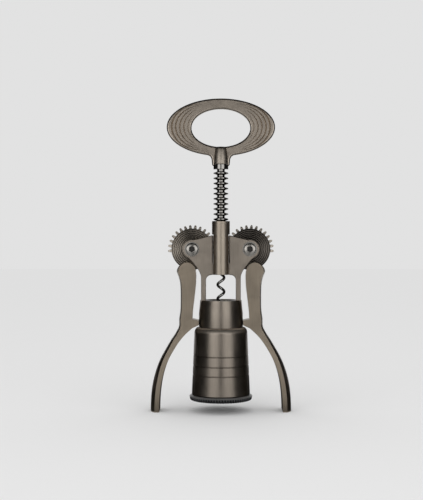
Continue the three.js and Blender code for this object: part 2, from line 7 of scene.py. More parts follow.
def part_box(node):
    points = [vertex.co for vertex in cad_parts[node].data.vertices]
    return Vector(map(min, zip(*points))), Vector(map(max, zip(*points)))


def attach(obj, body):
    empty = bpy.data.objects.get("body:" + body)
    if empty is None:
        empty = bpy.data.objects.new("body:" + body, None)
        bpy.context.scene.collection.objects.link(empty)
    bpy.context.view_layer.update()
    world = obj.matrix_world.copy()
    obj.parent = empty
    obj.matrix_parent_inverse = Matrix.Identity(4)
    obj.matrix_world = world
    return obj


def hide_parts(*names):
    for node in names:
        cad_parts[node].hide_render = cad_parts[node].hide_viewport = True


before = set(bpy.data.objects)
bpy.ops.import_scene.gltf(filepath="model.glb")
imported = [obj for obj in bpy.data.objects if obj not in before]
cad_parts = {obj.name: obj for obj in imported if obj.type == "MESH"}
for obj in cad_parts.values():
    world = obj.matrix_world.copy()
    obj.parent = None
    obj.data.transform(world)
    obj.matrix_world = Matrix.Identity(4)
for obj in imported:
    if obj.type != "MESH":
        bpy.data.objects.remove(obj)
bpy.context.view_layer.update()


# Frame: one satin bronze forging of two front and two rear cheeks on two struts, over a
# turned neck that carries the bell. The wheels' slots and the pin bores are machined through
# the cheeks, and every outer edge is broken by polishing.
MM = 0.001
TURN = 2 * math.pi


def corners(node):
    """Lowest and highest corner of a CAD node, in millimetres."""
    low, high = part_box(node)
    return low / MM, high / MM


def select_alone(piece):
    """Deselects everything else and makes one piece the active one."""
    if bpy.context.mode != "OBJECT":
        bpy.ops.object.mode_set(mode="OBJECT")
    bpy.ops.object.select_all(action="DESELECT")
    piece.select_set(True)
    bpy.context.view_layer.objects.active = piece


def edit(piece):
    """Opens one piece for editing with everything in it selected."""
    select_alone(piece)
    bpy.ops.object.mode_set(mode="EDIT")
    bpy.ops.mesh.select_all(action="SELECT")


def closed_up(piece, gap=0.001):
    """Merges corners closer than a gap in millimetres and turns every face outwards."""
    edit(piece)
    bpy.ops.mesh.remove_doubles(threshold=gap * MM)
    bpy.ops.mesh.normals_make_consistent(inside=False)
    bpy.ops.object.mode_set(mode="OBJECT")
    return piece


def traced(name, points):
    """A line of edges through points in millimetres, drawn by extruding one corner."""
    bpy.ops.object.select_all(action="DESELECT")
    bpy.ops.mesh.primitive_plane_add(size=MM)
    piece = bpy.context.active_object
    piece.name = name
    piece.data.name = name
    edit(piece)
    bpy.ops.mesh.merge(type="CENTER")
    bpy.ops.transform.translate(value=Vector(points[0]) * MM)
    for start, end in zip(points, points[1:]):
        step = (Vector(end) - Vector(start)) * MM
        bpy.ops.mesh.extrude_region_move(TRANSFORM_OT_translate={"value": step})
    bpy.ops.object.mode_set(mode="OBJECT")
    return piece


def filled(name, points):
    """A face with its corners at points in millimetres, left open for editing."""
    piece = traced(name, points)
    edit(piece)
    bpy.ops.mesh.edge_face_add()
    return piece


def plate(name, outline, front, back):
    """An outline of (x, z) points filled in and extruded from the front to the back."""
    piece = filled(name, [(x, front, z) for x, z in outline])
    thickness = Vector((0, back - front, 0)) * MM
    bpy.ops.mesh.extrude_region_move(TRANSFORM_OT_translate={"value": thickness})
    bpy.ops.object.mode_set(mode="OBJECT")
    return closed_up(piece)


def turned(name, profile, steps=96, centre=(0, 0, 0), axis=(0, 0, 1)):
    """A profile of (radius, height) points spun round an axis through the centre.

    A profile whose last point isn't on the axis is closed to its first one.
    """
    if profile[-1][0]:
        profile = [*profile, profile[0]]
    along = Vector(axis)
    points = [Vector(centre) + Vector((radius, 0, 0)) + along * height for radius, height in profile]
    piece = traced(name, points)
    edit(piece)
    bpy.ops.mesh.spin(steps=steps, angle=TURN, center=Vector(centre) * MM, axis=axis)
    bpy.ops.object.mode_set(mode="OBJECT")
    return closed_up(piece)


def apply_modifier(piece, modifier):
    """Applies one modifier of a piece."""
    bpy.context.view_layer.objects.active = piece
    bpy.ops.object.modifier_apply(modifier=modifier.name)


def combine(piece, other, operation="DIFFERENCE"):
    """Cuts the other piece away, or joins it on with operation UNION, and uses it up."""
    change = piece.modifiers.new("Combine", "BOOLEAN")
    change.operation = operation
    change.solver = "EXACT"
    change.object = other
    apply_modifier(piece, change)
    bpy.data.objects.remove(other)
    return piece


def rod(radius, start, end, steps=64):
    """A cylinder between two points in millimetres, as a cutter or a core."""
    start, end = Vector(start), Vector(end)
    bpy.ops.object.select_all(action="DESELECT")
    bpy.ops.mesh.primitive_cylinder_add(
        vertices=steps, radius=radius * MM, depth=(end - start).length * MM
    )
    piece = bpy.context.active_object
    turn = (end - start).to_track_quat("Z", "Y").to_matrix().to_4x4()
    piece.data.transform(Matrix.Translation((start + end) / 2 * MM) @ turn)
    return piece


def block(low, high):
    """A box between two corners in millimetres."""
    low, high = Vector(low), Vector(high)
    bpy.ops.object.select_all(action="DESELECT")
    bpy.ops.mesh.primitive_cube_add(size=1)
    piece = bpy.context.active_object
    size = (high - low) * MM
    piece.data.transform(Matrix.Translation((low + high) / 2 * MM) @ Matrix.Diagonal((*size, 1)))
    return piece


def break_edges(piece, width, segments=3, sharper_than=35):
    """Rounds the edges that are sharper than an angle in degrees."""
    bevel = piece.modifiers.new("Broken edges", "BEVEL")
    bevel.width = width * MM
    bevel.segments = segments
    bevel.limit_method = "ANGLE"
    bevel.angle_limit = math.radians(sharper_than)
    bevel.use_clamp_overlap = True
    apply_modifier(piece, bevel)
    return piece


def copied(piece, name):
    """A copy with its own mesh."""
    twin = piece.copy()
    twin.data = piece.data.copy()
    twin.name = name
    twin.data.name = name
    bpy.context.scene.collection.objects.link(twin)
    return twin


def mirrored(piece, name):
    """A copy reflected across the middle of the tool."""
    twin = copied(piece, name)
    twin.data.transform(Matrix.Diagonal((-1, 1, 1, 1)))
    return closed_up(twin)


def smooth(piece, angle):
    """Shades a piece smooth up to an angle, with its flat faces kept flat."""
    select_alone(piece)
    bpy.ops.object.shade_smooth_by_angle(angle=math.radians(angle))
    weighted = piece.modifiers.new("Flat faces", "WEIGHTED_NORMAL")
    weighted.keep_sharp = True
    apply_modifier(piece, weighted)


def fitted(piece, materials, body, node, angle=32):
    """Smooths a finished piece, gives it its materials and sets it in place of its CAD node."""
    smooth(closed_up(piece), angle)
    for material in materials:
        piece.data.materials.append(material)
    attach(piece, body)
    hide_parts(node)
    return piece


def arc(centre, radius, start, end, steps):
    """Points on an arc between two angles in degrees, both ends included."""
    points = []
    for i in range(steps + 1):
        angle = math.radians(start + (end - start) * i / steps)
        points.append((centre[0] + radius * math.cos(angle), centre[1] + radius * math.sin(angle)))
    return points


def swept(start, pull, end, steps=12):
    """Points on a curve that leaves its start towards the pull point, its start left out."""
    points = []
    for i in range(1, steps + 1):
        t = i / steps
        a, b, c = (1 - t) ** 2, 2 * t * (1 - t), t * t
        points.append(tuple(a * start[k] + b * pull[k] + c * end[k] for k in (0, 1)))
    return points


def add(tree, kind, inputs=None, **settings):
    """Adds a shader node, sets it, and fills its sockets with values or links."""
    node = tree.nodes.new(kind)
    for key, value in settings.items():
        setattr(node, key, value)
    for socket, value in (inputs or {}).items():
        if isinstance(value, bpy.types.NodeSocket):
            tree.links.new(value, node.inputs[socket])
        else:
            node.inputs[socket].default_value = value
    return node


def math_node(tree, operation, *values):
    """The result of one sum on values or links."""
    return add(tree, "ShaderNodeMath", dict(enumerate(values)), operation=operation).outputs[0]


def noise(tree, vector, scale, detail, roughness=0.5, distortion=0.0, dimensions="3D"):
    """The value of a noise texture at a vector."""
    return add(tree, "ShaderNodeTexNoise", {
        "Vector": vector, "Scale": scale, "Detail": detail, "Roughness": roughness,
        "Distortion": distortion,
    }, noise_dimensions=dimensions).outputs["Fac"]


def ramp(tree, value, low, high, to_low=0.0, to_high=1.0):
    """A value stretched from one range to another and held within it."""
    return add(tree, "ShaderNodeMapRange", {
        "Value": value, "From Min": low, "From Max": high, "To Min": to_low, "To Max": to_high,
    }).outputs["Result"]


def stretched(tree, vector, stretch):
    """A vector multiplied by three factors."""
    return add(tree, "ShaderNodeVectorMath", {0: vector, 1: stretch}, operation="MULTIPLY").outputs[0]


def blended(tree, factor, colour, other):
    """A colour that changes into another one with a factor."""
    return add(tree, "ShaderNodeMix", {
        "Factor": factor, "A": colour, "B": (*other, 1),
    }, data_type="RGBA").outputs["Result"]


def new_group(name, inputs, outputs):
    """An empty node group with its sockets, and its input and output nodes."""
    group = bpy.data.node_groups.new(name, "ShaderNodeTree")
    for socket, kind in inputs.items():
        group.interface.new_socket(socket, in_out="INPUT", socket_type=kind)
    for socket, kind in outputs.items():
        group.interface.new_socket(socket, in_out="OUTPUT", socket_type=kind)
    entry = group.nodes.new("NodeGroupInput").outputs
    leave = group.nodes.new("NodeGroupOutput").inputs
    return group, entry, leave


# Bead-blasted and brushed grain: fine pits, crossed by long streaks along the Z of the vector.
satin_grain, entry, leave = new_group(
    "Satin grain",
    {"Vector": "NodeSocketVector", "Pits per metre": "NodeSocketFloat"},
    {"Height": "NodeSocketFloat", "Streaks": "NodeSocketFloat"},
)
pits = noise(satin_grain, entry["Vector"], entry["Pits per metre"], 3.0, 0.6)
drawn_out = stretched(satin_grain, entry["Vector"], (1.0, 1.0, 0.03))
streaks = noise(satin_grain, drawn_out, 1500.0, 2.0)
satin_grain.links.new(streaks, leave["Streaks"])
satin_grain.links.new(math_node(satin_grain, "ADD", pits, streaks), leave["Height"])

# Handling marks: cloudy smears of polish, and thin scratches in two directions.
handling_marks, entry, leave = new_group(
    "Handling marks",
    {"Vector": "NodeSocketVector", "Scratches": "NodeSocketFloat"},
    {"Smears": "NodeSocketFloat", "Scratched": "NodeSocketFloat"},
)
smears = noise(handling_marks, entry["Vector"], 70.0, 4.0, 0.55, 0.6)
handling_marks.links.new(smears, leave["Smears"])
scratched = 0.0
for stretch in ((1.0, 1.0, 0.05), (0.06, 1.0, 1.0)):
    along = stretched(handling_marks, entry["Vector"], stretch)
    lines = noise(handling_marks, along, 420.0, 1.0, distortion=0.2)
    thin = ramp(handling_marks, lines, 0.72, 0.84)
    scratched = math_node(handling_marks, "MAXIMUM", scratched, thin)
handling_marks.links.new(
    math_node(handling_marks, "MULTIPLY", scratched, entry["Scratches"]), leave["Scratched"]
)

# Turning marks: fine rings round the Z axis of the vector, left by the lathe tool.
turning_marks, entry, leave = new_group(
    "Turning marks",
    {"Vector": "NodeSocketVector", "Rings per metre": "NodeSocketFloat"},
    {"Height": "NodeSocketFloat", "Steps": "NodeSocketFloat", "Radius": "NodeSocketFloat"},
)
parts = add(turning_marks, "ShaderNodeSeparateXYZ", {"Vector": entry["Vector"]}).outputs
across = math_node(
    turning_marks, "SQRT",
    math_node(
        turning_marks, "ADD",
        math_node(turning_marks, "POWER", parts["X"], 2.0),
        math_node(turning_marks, "POWER", parts["Y"], 2.0),
    ),
)
section = add(turning_marks, "ShaderNodeCombineXYZ", {"X": across, "Y": parts["Z"]}).outputs[0]
rings = noise(turning_marks, section, entry["Rings per metre"], 2.0, 0.7, dimensions="2D")
turning_marks.links.new(rings, leave["Height"])
coarse_step = 1.7
phase = math_node(turning_marks, "MULTIPLY", across, TURN / (coarse_step * MM))
turning_marks.links.new(math_node(turning_marks, "SINE", phase), leave["Steps"])
turning_marks.links.new(across, leave["Radius"])


def group_node(tree, group, inputs):
    """The outputs of a node group placed in a material."""
    return add(tree, "ShaderNodeGroup", inputs, node_tree=group).outputs


def new_material(name, scratches):
    """A new material, with its nodes, its coordinates and the handling marks on it."""
    material = bpy.data.materials.new(name)
    material.use_nodes = True
    tree = material.node_tree
    coordinates = add(tree, "ShaderNodeTexCoord").outputs["Object"]
    marks = group_node(tree, handling_marks, {"Vector": coordinates, "Scratches": scratches})
    return material, tree, tree.nodes["Principled BSDF"].inputs, coordinates, marks


def roughened(tree, surface, height, depth):
    """Gives a surface a bump of a depth in millimetres."""
    bump = add(tree, "ShaderNodeBump", {"Height": height, "Strength": 1.0, "Distance": depth * MM})
    tree.links.new(bump.outputs["Normal"], surface["Normal"])


def metal(
    name,
    colour,
    roughness,
    grain=0.0,
    rings=0.0,
    rings_per_metre=1400.0,
    steps=0.0,
    scratches=0.0,
    place=None,
    smear=0.06,
    beyond=None,
    painted_ring_shading=0.0,
):
    """A metal with grain, lathe rings about a place and axis, smears and scratches.

    Its colour can change beyond a radius in millimetres, given as that radius and a colour, and
    it can be painted lighter and darker in bands along the coarse steps of the lathe, as painted
    highlights and painted shade on the turned rings.
    """
    edge_fade = 0.4
    scratch_dulling = 0.12
    scratch_depth = 0.15
    bump_height = 0.01
    material, tree, surface, coordinates, marks = new_material(name, scratches)
    pitted = group_node(tree, satin_grain, {"Vector": coordinates, "Pits per metre": 5000.0})
    centred = place(tree, coordinates) if place else coordinates
    lathe = group_node(tree, turning_marks, {"Vector": centred, "Rings per metre": rings_per_metre})

    streaky = ramp(tree, pitted["Streaks"], 0.3, 0.7, 0.94, 1.06)
    cloudy = ramp(tree, marks["Smears"], 0.3, 0.7, 0.95, 1.05)
    shade = math_node(tree, "MULTIPLY", streaky if grain else 1.0, cloudy)
    # Painted highlights and painted shade: the colour is lightened and darkened in bands along the
    # lathe's coarse steps.
    if painted_ring_shading:
        ring_shaded = math_node(tree, "MULTIPLY_ADD", lathe["Steps"], painted_ring_shading, 1.0)
        shade = math_node(tree, "MULTIPLY", shade, ring_shaded)
    tinted = add(tree, "ShaderNodeVectorMath", {0: colour, "Scale": shade}, operation="SCALE")
    tint = tinted.outputs[0]
    if beyond:
        edge_radius, edge_colour = beyond
        fade_end = edge_radius + edge_fade
        outside = ramp(tree, lathe["Radius"], edge_radius * MM, fade_end * MM)
        tint = blended(tree, outside, tint, edge_colour)
    tree.links.new(tint, surface["Base Color"])
    surface["Metallic"].default_value = 1.0
    dulled = ramp(tree, marks["Smears"], 0.3, 0.7, roughness - smear, roughness + smear)
    scuffs = math_node(tree, "MULTIPLY", marks["Scratched"], scratch_dulling)
    tree.links.new(math_node(tree, "ADD", dulled, scuffs), surface["Roughness"])

    height = math_node(tree, "MULTIPLY", pitted["Height"], grain)
    height = math_node(tree, "ADD", height, math_node(tree, "MULTIPLY", lathe["Height"], rings))
    height = math_node(tree, "ADD", height, math_node(tree, "MULTIPLY", lathe["Steps"], steps))
    cuts = math_node(tree, "MULTIPLY", marks["Scratched"], scratch_depth)
    roughened(tree, surface, math_node(tree, "SUBTRACT", height, cuts), bump_height)
    return material


bronze = (0.32, 0.279, 0.235)
satin_bronze = metal("Satin bronze", bronze, 0.36, grain=0.07, scratches=0.3)
turned_colour = tuple(0.8 * channel for channel in bronze)
turned_bronze = metal(
    "Turned bronze", turned_colour, 0.34, grain=0.1, rings=1.2, scratches=0.2
)

tube_low, tube_high = corners("guide_tube")
tube_radius = tube_high.x
frame_low, frame_high = corners("frame")
screw_low, screw_high = corners("pivot_screw_right")
pivot_x = (screw_low.x + screw_high.x) / 2
pivot_z = (screw_low.z + screw_high.z) / 2
bell_low, bell_high = corners("bell")
neck_bottom = bell_high.z
neck_radius = frame_high.y
half_depth = 8.0
wheel_slot = 4.4
wheel_space = 22.6
pin_bore = 3.3
boss_radius = frame_high.x - pivot_x
cheek_inner = 7.1
cheek_top = frame_high.z
window_half = 13.75
window_corner = 5.0
strut_outer = 18.2
neck_top = neck_bottom + 25.0
window_top = neck_top + 23.2
neck_top_radius = strut_outer + 0.9
neck_bore = 14.2
spigot_radius = neck_radius - 2.3
spigot_bottom = frame_low.z
head_centre = (pivot_x + 5.4, pivot_z - 21.0)
head_radius = 8.9
waist = (head_centre[0] - 7.6, head_centre[1] + 0.75 * head_radius)
boss_start = -48.6
boss_end = 100.8
boss_steps = 40
boss_corner = arc((pivot_x, pivot_z), boss_radius, boss_start, boss_end, boss_steps)
pull_share = 0.42
pull_drop = 0.4
boss_pull = (
    waist[0] + pull_share * (boss_corner[0][0] - waist[0]), pivot_z - boss_radius - pull_drop,
)
overlap = 2.0
cheek_round = 0.8
neck_break = 0.25
beside_tube = 0.15
tube_seat = tube_radius + 0.05
run_out = 1.0
least_cut = 0.01
strut_turn = (strut_outer, window_top - 2.8)
cheek_outline = [
    (window_half, neck_top - overlap),
    (strut_outer, neck_top - overlap),
    strut_turn,
    *swept(strut_turn, (strut_outer, head_centre[1]), waist),
    *swept(waist, boss_pull, boss_corner[0]),
    *boss_corner[1:],
    (cheek_inner, cheek_top),
    (cheek_inner, window_top),
    *arc((window_half - window_corner, window_top - window_corner), window_corner, 90, 0, 10),
]
frame_body = plate("forged_frame", cheek_outline, -half_depth, half_depth)
break_edges(frame_body, cheek_round, segments=4)
combine(frame_body, mirrored(frame_body, "left_cheek"), "UNION")
neck = turned("neck", [
    (neck_bore, spigot_bottom),
    (spigot_radius, spigot_bottom),
    (spigot_radius, neck_bottom),
    (neck_radius, neck_bottom),
    (neck_radius, (neck_bottom + neck_top) / 2),
    (neck_top_radius, neck_top),
    (neck_bore, neck_top),
], steps=128)
break_edges(neck, neck_break)
combine(frame_body, neck, "UNION")
cut_bottom = window_top - run_out
cut_top = cheek_top + run_out
cut_depth = half_depth + run_out
combine(frame_body, rod(tube_seat, (0, 0, cut_bottom), (0, 0, cut_top), 96))
for side in (-1, 1):
    x = side * pivot_x
    near, far = sorted((side * (cheek_inner - run_out), side * (tube_radius + beside_tube)))
    combine(frame_body, block(
        (near, -cut_depth, window_top - least_cut), (far, -wheel_slot, cut_top)
    ))
    combine(frame_body, rod(wheel_space, (x, -wheel_slot, pivot_z), (x, wheel_slot, pivot_z), 96))
    combine(frame_body, rod(pin_bore, (x, -cut_depth, pivot_z), (x, cut_depth, pivot_z)))


def give_faces(piece, material_index, chosen):
    """Gives the faces that a test picks by centre and normal another of the materials."""
    for face in piece.data.polygons:
        if chosen(face.center / MM, face.normal):
            face.material_index = material_index


hair = 0.05
fitted(frame_body, [satin_bronze, turned_bronze], "frame", "frame")
give_faces(frame_body, 1, lambda centre, normal: centre.z < neck_top + hair)


# Guide tube: drawn tube of the same bronze around the rack shaft, held between the cheeks. It
# has a slot on each side where the wheels' teeth reach the rack.
tube_bore = tube_radius - 1.1
tube_break = 0.3
slot_half = 13.6
guide_tube = turned("guide_tube_skin", [
    (tube_bore, tube_low.z),
    (tube_radius, tube_low.z),
    (tube_radius, tube_high.z),
    (tube_bore, tube_high.z),
])
break_edges(guide_tube, tube_break)
combine(guide_tube, block(
    (-tube_radius - run_out, -wheel_slot, pivot_z - slot_half),
    (tube_radius + run_out, wheel_slot, pivot_z + slot_half),
))
drawn_bronze = metal(
    "Drawn bronze tube", (0.38, 0.33, 0.27), 0.42, grain=0.2, rings=0.3, scratches=0.2
)
fitted(guide_tube, [drawn_bronze], "frame", "guide_tube")


# Bell: turned bronze skirt, closed at the top by a plate that sits on the spigot under the
# neck. Three shallow grooves are turned into its side.
clearance = 0.3
side_taper = 2.3
bell_bottom_radius = bell_high.x
bell_shoulder_radius = bell_bottom_radius - side_taper
bell_top_radius = neck_radius + 0.5
shoulder_round = bell_shoulder_radius - bell_top_radius
shoulder_drop = 5.6
shoulder_z = bell_high.z - shoulder_drop
shoulder_steps = 12
bell_height = bell_high.z - bell_low.z
bell_bore = bell_shoulder_radius - 2.1
bell_mouth = bell_bottom_radius - 2.2
mouth_top = bell_low.z + 4.8
plate_bottom = bell_high.z - 3.0
spigot_hole = spigot_radius + clearance
groove_heights = (0.303, 0.44, 0.587)
groove_half = 0.6
groove_depth = 0.4
groove_points = 3
bell_break = 0.9
bell_profile = [
    (bell_mouth, bell_low.z),
    (bell_bottom_radius - bell_break, bell_low.z),
    (bell_bottom_radius, bell_low.z + bell_break),
]
for share in groove_heights:
    for step in range(-groove_points, groove_points + 1):
        z = bell_low.z + share * bell_height + groove_half * step / groove_points
        taper = side_taper * (shoulder_z - z) / (shoulder_z - bell_low.z)
        dip = groove_depth * math.cos(step / groove_points * math.pi / 2)
        bell_profile.append((bell_shoulder_radius + taper - dip, z))
for across, up in arc((0, 0), 1, 0, 90, shoulder_steps):
    bell_profile.append((
        bell_top_radius + shoulder_round * across,
        shoulder_z + shoulder_drop * up,
    ))
bell_profile += [
    (spigot_hole, bell_high.z),
    (spigot_hole, plate_bottom),
    (bell_bore, plate_bottom),
    (bell_bore, mouth_top),
    (bell_mouth, mouth_top),
]
bell = turned("turned_bell", bell_profile, steps=144)
# Painted highlight: the shoulder's upward faces get a rougher blasted finish painted lighter than the
# turned bronze, and the faces that look most nearly straight up are painted far lighter, near white,
# as a painted highlight.
blasted_highlight_bronze = metal(
    "Blasted shoulder bronze", (0.4, 0.352, 0.3), 0.48, grain=0.2, rings=0.3, scratches=0.2
)
top_highlight_bronze = metal(
    "Shoulder top painted highlight", (0.85, 0.75, 0.64), 0.6, grain=0.1, rings=0.6, scratches=0.2
)
fitted(
    bell, [turned_bronze, blasted_highlight_bronze, top_highlight_bronze], "frame", "bell", 40
)
blasted_highlight_slope = 0.2
top_highlight_slope = 0.7
give_faces(bell, 1, lambda centre, normal: centre.z > shoulder_z and normal.z > blasted_highlight_slope)
give_faces(bell, 2, lambda centre, normal: centre.z > shoulder_z and normal.z > top_highlight_slope)


# Rim ring: black moulded rubber, ribbed all round so that it grips the bottle's shoulder,
# with a spigot that plugs into the bell's mouth.
rim_low, rim_high = corners("rim_ring")
rim_radius = rim_high.x
rim_top = bell_low.z
rim_spigot = bell_mouth - clearance
rim_bore = rim_spigot - 3.7
ledge_drop = 1.2
ledge_end = rim_top - ledge_drop
ledge_round = 0.2
crest_round = 0.1
foot_round = 0.4
foot_inset = 1.2
rib_count = 72
steps_per_rib = 6
rim_ring = turned("ribbed_rim_ring", [
    (rim_bore, rim_high.z),
    (rim_spigot, rim_high.z),
    (rim_spigot, rim_top),
    (bell_bottom_radius, rim_top),
    (rim_radius - 1.25 * ledge_round, ledge_end + ledge_round),
    (rim_radius, ledge_end - crest_round),
    (rim_radius - crest_round, ledge_end - 4 * crest_round),
    (rim_radius - 3 * crest_round, (ledge_end + rim_low.z) / 2),
    (rim_radius - foot_inset + 1.25 * foot_round, rim_low.z + foot_round),
    (rim_radius - foot_inset, rim_low.z),
    (rim_bore, rim_low.z),
], steps=rib_count * steps_per_rib)
ribbed_below = ledge_end - ledge_round
ribbed_outside = rim_radius - 2.5
rib_depth = 1.1
rib_fullness = 0.8
for corner in rim_ring.data.vertices:
    point = corner.co / MM
    radius = math.hypot(point.x, point.y)
    if radius > ribbed_outside and point.z < ribbed_below:
        turn_share = math.atan2(point.y, point.x) / TURN
        valley = 0.5 - 0.5 * math.cos(TURN * rib_count * turn_share)
        dip = rib_depth * valley**rib_fullness
        corner.co.x *= 1 - dip / radius
        corner.co.y *= 1 - dip / radius


def moulded(name, colour, roughness, grain_per_metre, depth, glossy_highlight_beyond=None):
    """A moulded rubber or plastic with a fine skin, dust and smears, glossy beyond a radius and
    painted lighter there as a painted highlight.
    """
    dust_lift = 2.2
    dust_grey = 0.01
    highlight_lift = 16
    highlight_fade = 0.4
    scratch_depth = 0.5
    material, tree, surface, coordinates, marks = new_material(name, 0.6)
    skin = noise(tree, coordinates, grain_per_metre, 3.0, 0.6)
    dusty = ramp(tree, marks["Smears"], 0.45, 0.75, 0.0, 0.35)
    dust = [dust_lift * channel + dust_grey for channel in colour]
    tint = blended(tree, dusty, (*colour, 1), dust)
    # Beyond the radius a coat makes the surface glossy, and the colour is lifted as a painted
    # highlight on the crests.
    if glossy_highlight_beyond:
        radius = group_node(tree, turning_marks, {"Vector": coordinates})["Radius"]
        fade_start = glossy_highlight_beyond - highlight_fade
        polished = ramp(tree, radius, fade_start * MM, glossy_highlight_beyond * MM)
        tint = blended(tree, polished, tint, [highlight_lift * channel for channel in colour])
        tree.links.new(polished, surface["Coat Weight"])
        surface["Coat Roughness"].default_value = roughness
        surface["Specular IOR Level"].default_value = 0.1
    tree.links.new(tint, surface["Base Color"])
    sheen = ramp(tree, marks["Smears"], 0.3, 0.7, roughness - 0.07, roughness + 0.1)
    tree.links.new(sheen, surface["Roughness"])
    cuts = math_node(tree, "MULTIPLY", marks["Scratched"], scratch_depth)
    roughened(tree, surface, math_node(tree, "SUBTRACT", skin, cuts), depth)
    return material


crest_band = 0.2
black_rubber = moulded(
    "Black rubber", (0.007, 0.007, 0.0075), 0.32, 3500.0, 0.01,
    glossy_highlight_beyond=rim_radius - crest_band,
)
# Painted highlight: the upward-facing ledge is painted far lighter than the black rubber.
ledge_highlight_rubber = moulded(
    "Rubber ledge with painted highlight", (0.09, 0.088, 0.085), 0.32, 3500.0, 0.01
)
fitted(rim_ring, [black_rubber, ledge_highlight_rubber], "frame", "rim_ring", 50)
ledge_slope = 0.2
give_faces(rim_ring, 1, lambda centre, normal: (
    normal.z > ledge_slope and ledge_end < centre.z < rim_top
))


# Centring sleeve and neck seat: black nylon mouldings inside the bell. The sleeve's flared
# mouth guides the bottle's lip up to the seat, which lies on the sleeve.
sleeve_low, sleeve_high = corners("centring_sleeve")
seat_low, seat_high = corners("neck_seat")
liner_radius = sleeve_high.x
sleeve_bore = 15.6
sleeve_mouth = rim_bore
flare_top = sleeve_low.z + 12.0
flare_knee = sleeve_low.z + 8.0
knee_radius = sleeve_bore + 1.2
sleeve_break = 0.3
sleeve = turned("centring_sleeve_moulding", [
    (sleeve_mouth, sleeve_low.z),
    (liner_radius, sleeve_low.z),
    (liner_radius, sleeve_high.z),
    (sleeve_bore, sleeve_high.z),
    (sleeve_bore, flare_top),
    (knee_radius, flare_knee),
])
break_edges(sleeve, sleeve_break, sharper_than=50)
black_nylon = moulded("Black nylon", (0.025, 0.025, 0.027), 0.5, 5000.0, 0.015)
fitted(sleeve, [black_nylon], "frame", "centring_sleeve")

seat_hole = 12.5
seat_step = sleeve_bore - clearance
seat_break = 0.2
seat = turned("neck_seat_moulding", [
    (seat_hole, seat_low.z),
    (seat_step, seat_low.z),
    (seat_step, sleeve_high.z),
    (liner_radius, sleeve_high.z),
    (liner_radius, seat_high.z),
    (seat_hole, seat_high.z),
])
break_edges(seat, seat_break, sharper_than=50)
fitted(seat, [black_nylon], "frame", "neck_seat")


# Levers: each is one forging of a toothed wheel and an arm. The arm's front and back are flat
# and its outer side is crowned, it flares to the grip, and a nose at the root stops it on the
# neck. The wheel's faces keep their turning rings.
wheel_half = 4.0
tooth_module = 1.5
full_teeth = 28
cut_teeth = 16
pitch_radius = tooth_module * full_teeth / 2
tooth_step = TURN / full_teeth
backlash = 0.2
tooth_width = math.pi * tooth_module / 2 - backlash
tip_radius = pitch_radius + 1.2
root_radius = pitch_radius - 2.0
pressure_angle = math.radians(20)
base_radius = pitch_radius * math.cos(pressure_angle)
ring_drop = 0.7
first_tooth = -ring_drop / pitch_radius - tooth_step / 2
flank_steps = 4
rim_steps = 48
tooth_break = 0.22


def flank_angle(radius):
    """Half the angle that a tooth takes up at a radius."""
    half = tooth_width / (2 * pitch_radius) + math.tan(pressure_angle) - pressure_angle
    slope = math.acos(base_radius / radius) if radius > base_radius else 0
    return half - (math.tan(slope) - slope)


flank_radii = [root_radius, base_radius]
for i in range(1, flank_steps + 1):
    flank_radii.append(base_radius + (tip_radius - base_radius) * i / flank_steps)
wheel_outline = []
for tooth in range(cut_teeth):
    centre_angle = first_tooth + tooth * tooth_step
    flank = [(radius, centre_angle - flank_angle(radius)) for radius in flank_radii]
    flank += [(radius, centre_angle + flank_angle(radius)) for radius in reversed(flank_radii)]
    for radius, angle in flank:
        x, z = radius * math.cos(angle), radius * math.sin(angle)
        wheel_outline.append((x - pivot_x, z + pivot_z))
plain_start = math.degrees(centre_angle + flank_angle(root_radius))
plain_end = math.degrees(first_tooth + TURN - flank_angle(root_radius))
plain_rim = arc((-pivot_x, pivot_z), root_radius, plain_start, plain_end, rim_steps)
wheel_outline += plain_rim[1:-1]
lever = plate("lever_left_forging", wheel_outline, -wheel_half, wheel_half)
break_edges(lever, tooth_break, segments=2, sharper_than=60)

lever_low, lever_high = corners("lever_left")
foot_reach = -lever_low.x
foot_half_depth = lever_high.y
nose_bottom = neck_bottom + 2.2
nose_top = nose_bottom + 4.3
nose_gap = 0.03
nose_reach = neck_radius + nose_gap
grip_edges = [
    (0, 1, 0.786), (0.075, 0.997, 0.782), (0.188, 0.985, 0.77), (0.329, 0.946, 0.733),
    (0.47, 0.872, 0.664), (0.611, 0.758, 0.551), (0.751, 0.598, 0.387), (0.827, 0.505, 0.28),
    (0.896, 0.41, 0.155), (0.964, 0.331, 0),
]
waist_edges = [
    (0.028, 0.314, -0.007), (0.214, 0.284, -0.021), (0.459, 0.279, -0.055),
    (0.702, 0.284, -0.087), (0.829, 0.304, -0.095), (0.923, 0.335, -0.097),
]


def reach_at(share):
    """How far out a share of the way from the pivot to the foot's tip lies."""
    return pivot_x + share * (foot_reach - pivot_x)


def eased(edges, at):
    """Outer and inner share at a height share, on a smooth curve through the edges."""
    for k in range(len(edges) - 1):
        if edges[k][0] <= at <= edges[k + 1][0]:
            break
    before, after = edges[max(k - 1, 0)], edges[min(k + 2, len(edges) - 1)]
    start, end = edges[k], edges[k + 1]
    span = end[0] - start[0]
    t = (at - start[0]) / span
    found = []
    for side in (1, 2):
        leave_slope = (end[side] - before[side]) / (end[0] - before[0]) * span
        enter_slope = (after[side] - start[side]) / (after[0] - start[0]) * span
        found.append(
            (2 * t**3 - 3 * t**2 + 1) * start[side] + (t**3 - 2 * t**2 + t) * leave_slope
            + (3 * t**2 - 2 * t**3) * end[side] + (t**3 - t**2) * enter_slope
        )
    return found


